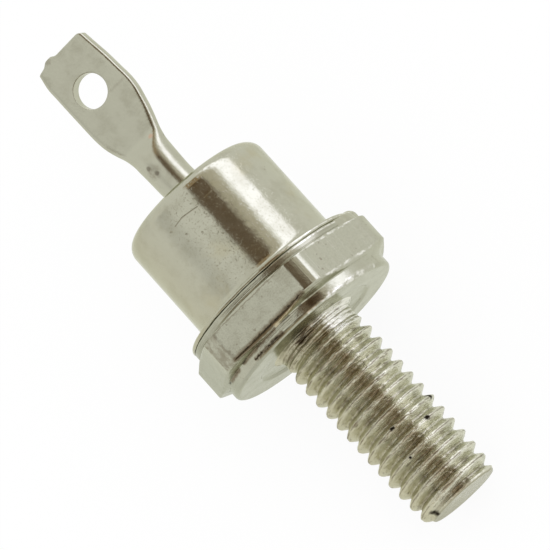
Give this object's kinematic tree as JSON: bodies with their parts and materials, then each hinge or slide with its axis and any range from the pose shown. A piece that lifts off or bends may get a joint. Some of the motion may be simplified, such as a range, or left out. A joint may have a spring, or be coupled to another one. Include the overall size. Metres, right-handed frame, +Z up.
{
  "type": "rectifier diode",
  "caption": "Stud-mounting rectifier diode: nickel-plated metal can welded to a hexagon base, with a threaded stud and a pressed terminal lug with a hole.",
  "frame": {"origin": "centre of the seat face, on the stud's axis", "axes": "+Z up as the loose diode lies at rest, on one flat of its hexagon and on the end of its stud; +X is level and points to the stud's end, and the stud's axis dips 15.24 degrees below it; +Y completes the right-handed frame"},
  "size_m": [0.0308, 0.0118, 0.0116],
  "materials": {
    "plated_copper": "dull nickel plate over copper",
    "plated_steel": "dull nickel plate over drawn steel",
    "seal_glass": "opaque fired sealing glass",
    "plated_tube": "dull nickel plate over a pressed copper-alloy tube",
    "copper": "bare copper",
    "solder": "set solder",
    "silicon": "etched silicon"
  },
  "bodies": {
    "root": {"stud_base": "plated_copper", "can": "plated_steel", "glass_seal": "seal_glass", "terminal_lug": "plated_tube", "inner_lead": "copper", "top_solder": "solder", "silicon_die": "silicon", "base_solder": "solder"}
  },
  "joints": []
}
